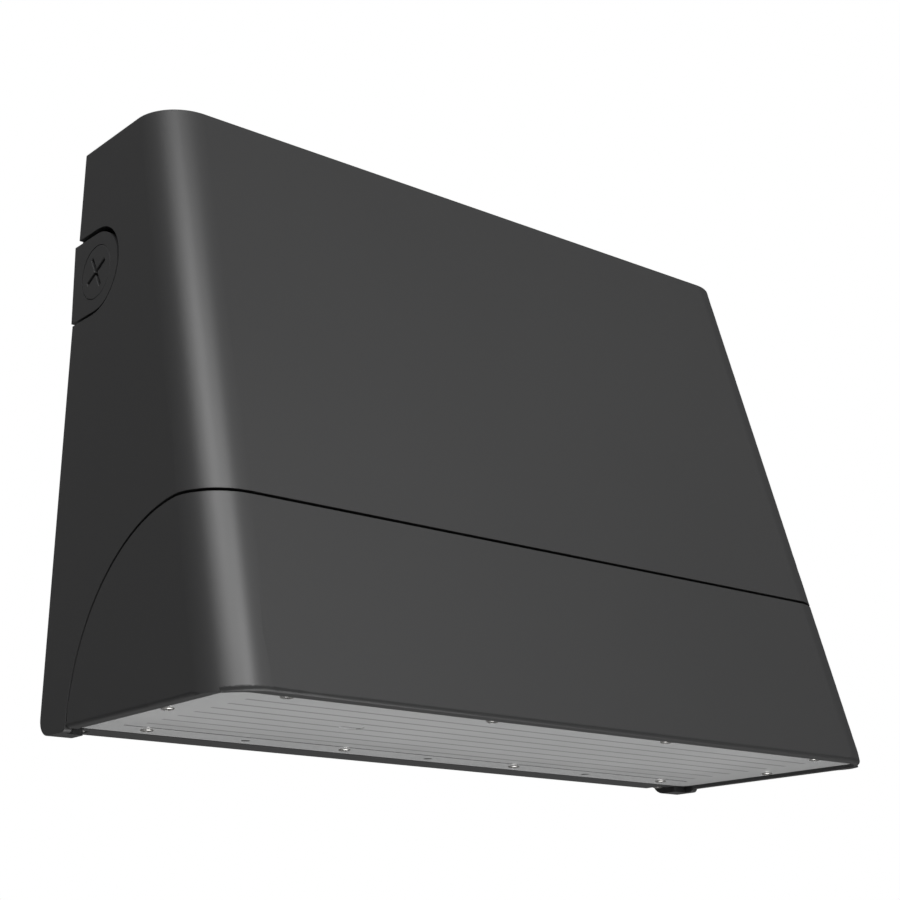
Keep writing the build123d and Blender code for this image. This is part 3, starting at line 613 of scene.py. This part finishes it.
def trueCorners(piece):
    # the rolled corner between front and side is a cylinder; its faces shade as one
    mesh = piece.data
    front, *sides = outerPlanes()
    radius = rolled["radius"] * mm
    axes = []
    for side in sides:
        along = front[0].cross(side[0]).normalized()
        rows = Matrix((front[0], side[0], along))
        middle = rows.inverted() @ Vector((front[1] - radius, side[1] - radius, 0))
        axes.append((middle, along))
    normals = [Vector(corner.vector) for corner in mesh.corner_normals]
    for face in mesh.polygons:
        flat = [normal for normal, distance in [front] + sides
                if face.normal.dot(normal) > plane["turn"]
                and abs(face.center.dot(normal) - distance) < plane["offBy"] * mm]
        if flat:
            for loop in face.loop_indices:
                normals[loop] = flat[0]
            continue
        for middle, along in axes:
            arm = face.center - middle
            arm -= along * arm.dot(along)
            onArc = abs(arm.length - radius) < rolled["offBy"] * mm
            if onArc and face.normal.dot(arm.normalized()) > rolled["turn"]:
                for loop in face.loop_indices:
                    arm = mesh.vertices[mesh.loops[loop].vertex_index].co - middle
                    normals[loop] = (arm - along * arm.dot(along)).normalized()
    mesh.normals_split_custom_set(normals)


def islandsOf(nodeName):
    # lowest and highest corner of each separate solid in a CAD node, in reading order
    work = bmesh.new()
    work.from_mesh(nodes[nodeName].data)
    bmesh.ops.remove_doubles(work, verts=work.verts, dist=weld["solid"])
    left = set(work.verts)
    islands = []
    while left:
        held = {left.pop()}
        edge = list(held)
        while edge:
            near = {other for vert in edge for link in vert.link_edges for other in link.verts}
            edge = list(near - held)
            held |= near
        left -= held
        low = Vector([min(vert.co[axis] for vert in held) for axis in range(3)])
        high = Vector([max(vert.co[axis] for vert in held) for axis in range(3)])
        islands.append((low, high))
    work.free()
    return sorted(islands, key=lambda box: tuple(round(value, 5) for value in box[0]))


def lathe(work, outline, sides):
    # a turned form about Z; the outline is (radius, height) from the axis to the axis
    rings = []
    for radius, height in outline:
        if radius == 0:
            rings.append([work.verts.new((0, 0, height))])
            continue
        turn = 2 * math.pi / sides
        rings.append([work.verts.new((radius * math.cos(turn * n), radius * math.sin(turn * n), height))
                      for n in range(sides)])
    for below, above in zip(rings, rings[1:]):
        for n in range(sides):
            after = (n + 1) % sides
            if len(below) == 1:
                work.faces.new((below[0], above[after], above[n]))
            elif len(above) == 1:
                work.faces.new((below[n], below[after], above[0]))
            else:
                work.faces.new((below[n], below[after], above[after], above[n]))


def blockBetween(work, low, high):
    made = bmesh.ops.create_cube(work, size=1)
    size = Vector(high) - Vector(low)
    middle = (Vector(high) + Vector(low)) / 2
    bmesh.ops.scale(work, vec=size, verts=made["verts"])
    bmesh.ops.translate(work, vec=middle, verts=made["verts"])


def meshOf(name, draw, smooth=True):
    work = bmesh.new()
    draw(work)
    bmesh.ops.recalc_face_normals(work, faces=work.faces)
    for face in work.faces:
        face.smooth = smooth
    mesh = bpy.data.meshes.new(name)
    work.to_mesh(mesh)
    work.free()
    return mesh


def cutFrom(piece, cutter):
    cut = piece.modifiers.new("cut", "BOOLEAN")
    cut.object = cutter
    cut.solver = "EXACT"
    settle(piece)
    bpy.data.objects.remove(cutter)
    return piece


sharpEdges = {"lid": 0.12, "screw": 0.08, "led": 0.09, "ground": 0.15}  # mm of rounding


def roundSharp(piece, width, angle=35, segments=2):
    bevel = piece.modifiers.new("rounding", "BEVEL")
    bevel.width = width * mm
    bevel.segments = segments
    bevel.limit_method = "ANGLE"
    bevel.angle_limit = math.radians(angle)
    weighted = piece.modifiers.new("flatFaces", "WEIGHTED_NORMAL")
    weighted.mode = "FACE_AREA"
    return settle(piece)


lid = {  # mm, the groove round the driver's lid, and how far its cutter stands out
    "left": -52.0, "right": 86.0, "low": 53.0, "high": 86.0, "front": -33.0,
    "wide": 0.45, "deep": 0.6, "over": 1.0,
}


def cutLid(piece):
    left, right, low, high, front, wide, deep, over = (value * mm for value in lid.values())
    grooves = [(left, right, low - wide, low + wide), (left, right, high - wide, high + wide),
               (left - wide, left + wide, low, high), (right - wide, right + wide, low, high)]
    for start, end, foot, top in grooves:
        def drawGroove(work):
            blockBetween(work, (start, front - over, foot), (end, front + deep, top))
        cutFrom(piece, newPiece("groove", meshOf("groove", drawGroove, False)))
    roundSharp(piece, sharpEdges["lid"])


for nodeName, (name, width, angle) in softEdges.items():
    piece = roundEdges(nodeName, name, width, angle)
    if nodeName in ("upper_shell", "lamp_housing"):
        trueCorners(piece)
    if nodeName == "led_driver":
        cutLid(piece)
    rideAs(piece, [nodeName], finishes.get(ownFinish.get(nodeName)))
print("castings, pressings and mouldings with rounded edges")


facets = {"screw": 28, "led": 20, "hexagon": 6}  # round each turned form
domeForm = ((1, 0), (1, 0.35), (0.93, 0.66), (0.74, 0.9), (0.4, 1), (0, 1))  # shares of radius and height
crossArm = 0.26  # half the width of a cross drive's arm, as a share of its reach


def makeScrew(name, screw):
    # head up, origin at the seat; the drive is a cross or a hexagon
    head, high, shank, length = (screw[size] * mm for size in ("head", "high", "shank", "length"))
    outline = [(0, -length), (shank, -length), (shank, 0)]
    outline += [(head * out, high * tall) for out, tall in domeForm]
    piece = newPiece(name, meshOf(name, lambda work: lathe(work, outline, facets["screw"])))
    form, reach, deep = screw["drive"]
    floor, reach = high - deep * mm, reach * mm
    thick = crossArm * reach

    def drawHexagon(work):
        lathe(work, [(0, floor), (reach, floor), (reach, 2 * high), (0, 2 * high)], facets["hexagon"])

    def drawArm(along, aside):
        return lambda work: blockBetween(work, (-along, -aside, floor), (along, aside, 2 * high))

    draws = [drawHexagon] if form == "hexagon" else [drawArm(reach, thick), drawArm(thick, reach)]
    for draw in draws:
        cutFrom(piece, newPiece("drive", meshOf("drive", draw, False)))
    return roundSharp(piece, sharpEdges["screw"])


class NodeTree:
    # one Geometry Nodes tree, with its inputs by name
    def __init__(self, name, inputs):
        self.tree = bpy.data.node_groups.new(name, "GeometryNodeTree")
        self.sockets = {}
        self.tree.interface.new_socket("Geometry", in_out="INPUT", socket_type="NodeSocketGeometry")
        for title, kind in inputs.items():
            made = self.tree.interface.new_socket(title, in_out="INPUT", socket_type="NodeSocket" + kind)
            self.sockets[title] = made.identifier
        self.tree.interface.new_socket("Geometry", in_out="OUTPUT", socket_type="NodeSocketGeometry")
        self.start = self.tree.nodes.new("NodeGroupInput")
        self.end = self.tree.nodes.new("NodeGroupOutput")

    def add(self, kind, settings=None, inputs=None):
        node = self.tree.nodes.new(kind)
        for name, value in (settings or {}).items():
            setattr(node, name, value)
        for name, value in (inputs or {}).items():
            if isinstance(value, bpy.types.NodeSocket):
                self.tree.links.new(value, node.inputs[name])
            else:
                node.inputs[name].default_value = value
        return node

    def given(self, title):
        return self.start.outputs[title]

    def finish(self, geometry):
        self.tree.links.new(geometry, self.end.inputs["Geometry"])


def makePlacingTree():
    # sets one piece on every point, its Z along the point's facing, each turned a little
    grow = NodeTree("setOnPoints", {"Piece": "Object", "Turn": "Float", "Seed": "Int", "Finish": "Material"})
    facing = grow.add("GeometryNodeInputNamedAttribute", {"data_type": "FLOAT_VECTOR"}, {"Name": "facing"})
    aim = grow.add("FunctionNodeAlignRotationToVector", {"axis": "Z"}, {"Vector": facing.outputs[0]})
    points = grow.add("GeometryNodeMeshToPoints", None, {"Mesh": grow.given("Geometry")})
    source = grow.add("GeometryNodeObjectInfo", None, {"Object": grow.given("Piece")})
    held = grow.add("GeometryNodeInstanceOnPoints", None,
                    {"Points": points.outputs[0], "Instance": source.outputs["Geometry"],
                     "Rotation": aim.outputs[0]})
    chance = grow.add("FunctionNodeRandomValue", {"data_type": "FLOAT"},
                      {"Max": grow.given("Turn"), "Seed": grow.given("Seed")})
    chanceOut = [socket for socket in chance.outputs if socket.type == "VALUE" and socket.enabled][0]
    spin = grow.add("ShaderNodeCombineXYZ", None, {"Z": chanceOut})
    turned = grow.add("GeometryNodeRotateInstances", None,
                      {"Instances": held.outputs[0], "Rotation": spin.outputs[0]})
    real = grow.add("GeometryNodeRealizeInstances", None, {"Geometry": turned.outputs[0]})
    painted = grow.add("GeometryNodeSetMaterial", None,
                       {"Geometry": real.outputs[0], "Material": grow.given("Finish")})
    grow.finish(painted.outputs[0])
    return grow


placing = makePlacingTree()


def setOnPoints(name, places, source, finish, turn=0.0, seed=1):
    # places are (point, facing); the result is one mesh
    mesh = bpy.data.meshes.new(name)
    mesh.from_pydata([tuple(point) for point, facing in places], [], [])
    facings = mesh.attributes.new("facing", "FLOAT_VECTOR", "POINT")
    for item, (point, facing) in zip(facings.data, places):
        item.vector = facing
    piece = newPiece(name, mesh)
    grown = piece.modifiers.new("setOnPoints", "NODES")
    grown.node_group = placing.tree
    grown[placing.sockets["Piece"]] = source
    grown[placing.sockets["Turn"]] = turn
    grown[placing.sockets["Seed"]] = seed
    grown[placing.sockets["Finish"]] = finish
    return settle(piece)


down, up, outward = Vector((0, 0, -1)), Vector((0, 0, 1)), Vector((0, -1, 0))
screws = {  # mm; the seat lies this far below the top of the head; drive is its form, radius and depth
    "lens_screws": {
        "name": "lensScrews", "facing": "down", "seat": 1.1,
        "head": 2.3, "high": 0.7, "shank": 1.5, "length": 3.0, "drive": ("hexagon", 1.1, 0.5),
    },
    "board_screws": {
        "name": "boardScrews", "facing": "down", "seat": 1.4,
        "head": 2.6, "high": 1.4, "shank": 1.2, "length": 4.0, "drive": ("cross", 1.4, 0.9),
    },
    "joining_screws": {
        "name": "joiningScrews", "facing": "up", "seat": 2.4,
        "head": 3.8, "high": 2.4, "shank": 1.9, "length": 10.0, "drive": ("cross", 2.1, 1.6),
    },
    "heat_sink_screws": {
        "name": "heatSinkScrews", "facing": "up", "seat": 2.4,
        "head": 3.4, "high": 2.3, "shank": 1.6, "length": 4.0, "drive": ("cross", 1.8, 1.5),
    },
    "driver_screws": {
        "name": "driverScrews", "facing": "out", "seat": 2.2,
        "head": 3.6, "high": 2.2, "shank": 1.6, "length": 5.0, "drive": ("cross", 1.9, 1.4),
    },
    "latch_screws": {
        "name": "latchScrews", "facing": "down", "seat": 1.8,
        "head": 3.0, "high": 1.8, "shank": 1.5, "length": 3.0, "drive": ("cross", 1.6, 1.1),
    },
    "hinge_plate_screws": {
        "name": "hingePlateScrews", "facing": "sides", "seat": 1.6,
        "head": 3.2, "high": 1.6, "shank": 1.6, "length": 6.0, "drive": ("cross", 1.7, 1.0),
    },
}
firstSeed = 3
mostTurn = 1.5  # radians, how far a screw may be turned from its neighbour


def seatOf(box, screw):
    # where the head bears, and which way it faces
    low, high = box
    middle = (low + high) / 2
    seat = screw["seat"] * mm
    if screw["facing"] == "down":
        return Vector((middle.x, middle.y, low.z + seat)), down
    if screw["facing"] == "up":
        return Vector((middle.x, middle.y, high.z - seat)), up
    if screw["facing"] == "out":
        return Vector((middle.x, low.y + seat, middle.z)), outward
    side = 1 if middle.x > 0 else -1
    end = high.x if side > 0 else low.x
    return Vector((end - side * seat, middle.y, middle.z)), Vector((side, 0, 0))


for number, (nodeName, screw) in enumerate(screws.items()):
    source = makeScrew("oneScrew", screw)
    places = [seatOf(box, screw) for box in islandsOf(nodeName)]
    piece = setOnPoints(screw["name"], places, source, finishes["stainless"], mostTurn, number + firstSeed)
    bpy.data.objects.remove(source)
    rideAs(piece, [nodeName], finishes["stainless"])
print("screws")

led = {"case": 3.5, "high": 1.2, "bowl": 1.38, "wall": 0.9}  # mm
phosphorForm = ((0, 0.7), (0.97, 0.7))  # shares of the bowl's radius and floor height
phosphorTop = ((0.97, 0.88), (0.5, 0.93), (0, 0.95))  # shares of the bowl's radius and the case's height
bowlFoot = 0.94  # share of the bowl's radius at its floor


def makeLed():
    # white case with a round bowl of phosphor, whose points carry glow = 1
    half, high, bowl, wall = led["case"] * mm / 2, led["high"] * mm, led["bowl"] * mm, led["wall"] * mm
    hollow = [(0, wall), (bowl * bowlFoot, wall), (bowl, 2 * high), (0, 2 * high)]
    fill = [(bowl * out, wall * tall) for out, tall in phosphorForm]
    fill += [(bowl * out, high * tall) for out, tall in phosphorTop]

    def drawCase(work):
        blockBetween(work, (-half, -half, 0), (half, half, high))

    piece = newPiece("oneLed", meshOf("oneLed", drawCase, False))
    cutFrom(piece, newPiece("bowl", meshOf("bowl", lambda work: lathe(work, hollow, facets["led"]))))
    roundSharp(piece, sharpEdges["led"])
    glow = newPiece("glow", meshOf("glow", lambda work: lathe(work, fill, facets["led"])))
    for part, value in ((piece, 0.0), (glow, 1.0)):
        marks = part.data.attributes.new("glow", "FLOAT", "POINT")
        marks.data.foreach_set("value", [value] * len(part.data.vertices))
    with bpy.context.temp_override(active_object=piece, selected_editable_objects=[piece, glow]):
        bpy.ops.object.join()
    return piece


oneLed = makeLed()
ledPlaces = [(Vector(((low.x + high.x) / 2, (low.y + high.y) / 2, high.z)), down)
             for low, high in islandsOf("leds")]
leds = setOnPoints("leds", ledPlaces, oneLed, finishes["led_phosphor"])
bpy.data.objects.remove(oneLed)
rideAs(leds, ["leds"], finishes["led_phosphor"])
print("LEDs", len(ledPlaces))

wires = {  # metres, in the order of their points
    "ledLead": {"radius": 0.0025, "points": [
        (-0.058, -0.019, 0.0615), (-0.084, -0.019, 0.0615), (-0.096, -0.026, 0.0275),
        (-0.092, -0.040, -0.0165), (-0.0755, -0.0581, -0.0285), (-0.0755, -0.0581, -0.0851)]},
    "lineWire": {"radius": 0.0011, "points": [
        (0.060, -0.008, 0.0075), (0.060, -0.008, 0.020), (0.057, -0.011, 0.029), (0.060, -0.008, 0.038),
        (0.060, -0.008, 0.0495)]},
    "neutralWire": {"radius": 0.0011, "points": [
        (0.073, -0.008, 0.0075), (0.073, -0.008, 0.020), (0.076, -0.010, 0.029), (0.073, -0.008, 0.038),
        (0.073, -0.008, 0.0495)]},
    "earthWire": {"radius": 0.0011, "points": [
        (0.086, -0.008, 0.0075), (0.086, -0.008, 0.020), (0.083, -0.012, 0.029), (0.086, -0.008, 0.038),
        (0.086, -0.008, 0.0495)]},
}


def tubeAlong(name):
    # a round wire on a smooth curve through the space between its points
    curve = bpy.data.curves.new(name, "CURVE")
    curve.dimensions = "3D"
    spline = curve.splines.new("NURBS")
    spline.points.add(len(wires[name]["points"]) - 1)
    for point, place in zip(spline.points, wires[name]["points"]):
        point.co = (*place, 1)
    spline.order_u = 3
    spline.use_endpoint_u = True
    curve.resolution_u = 14
    curve.bevel_depth = wires[name]["radius"]
    curve.bevel_resolution = 5
    curve.use_fill_caps = True
    holder = newPiece(name + "Curve", curve)
    bpy.context.view_layer.update()
    graph = bpy.context.evaluated_depsgraph_get()
    mesh = bpy.data.meshes.new_from_object(holder.evaluated_get(graph), depsgraph=graph)
    bpy.data.objects.remove(holder)
    work = bmesh.new()
    work.from_mesh(mesh)
    bmesh.ops.remove_doubles(work, verts=work.verts, dist=weld["wire"])
    bmesh.ops.recalc_face_normals(work, faces=work.faces)
    for face in work.faces:
        face.smooth = len(face.verts) == 4
    work.to_mesh(mesh)
    work.free()
    mesh.materials.clear()
    return newPiece(name, mesh)


lead = tubeAlong("ledLead")  # fixed to the driver above and to the boards below, so it bends over the hinge
lead.data.materials.append(finishes["lead_jacket"])
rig.blend(lead, "wall_box", "door", start=(-0.084, -0.019, 0.0615), end=(-0.0755, -0.0581, -0.0285))
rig.replaces(lead, "led_lead")
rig.slot(lead, "lead_jacket")

coreTints = {"lineWire": 0.0, "neutralWire": 0.5, "earthWire": 1.0}  # each within one colour of wireFinish
cores = [tubeAlong(name) for name in coreTints]
for core, value in zip(cores, coreTints.values()):
    tint = core.data.attributes.new("tint", "FLOAT", "POINT")
    tint.data.foreach_set("value", [value] * len(core.data.vertices))
with bpy.context.temp_override(active_object=cores[0], selected_editable_objects=cores):
    bpy.ops.object.join()
cores[0].name = "driverLeads"
rideAs(cores[0], ["driver_leads"], finishes["lead_wires"])
print("wires")

ground = {"washer": 5.5, "thick": 1.0, "head": 4.0, "high": 3.0, "shank": 1.9}  # mm


def makeGroundScrew():
    # hexagon head on its own washer
    low, high = islandsOf("ground_screw")[0]
    washer, thick, head, headHigh, shank = (value * mm for value in ground.values())
    tall = thick + headHigh
    seat = -low.y - tall
    deep = high.y + seat
    turned = [(0, -deep), (shank, -deep), (shank, 0), (washer, 0), (washer, thick), (0, thick)]
    hexagon = [(0, thick * 0.5), (head, thick * 0.5), (head, tall * 0.94), (head * 0.9, tall), (0, tall)]

    def draw(work):
        lathe(work, turned, facets["screw"])
        lathe(work, hexagon, facets["hexagon"])

    piece = newPiece("groundScrew", meshOf("groundScrew", draw, False))
    roundSharp(piece, sharpEdges["ground"])
    outwards = Matrix.Rotation(math.radians(90), 4, "X")
    middle = Matrix.Translation(((low.x + high.x) / 2, -seat, (low.z + high.z) / 2))
    piece.data.transform(middle @ outwards)
    return rideAs(piece, ["ground_screw"], finishes["ground_green"])


makeGroundScrew()
print("ground screw")

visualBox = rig.bounds()
with open("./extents.json", "w") as sizes:
    json.dump({"cad": [list(corner) for corner in cadBox],
               "visual": [list(corner) for corner in visualBox]}, sizes)
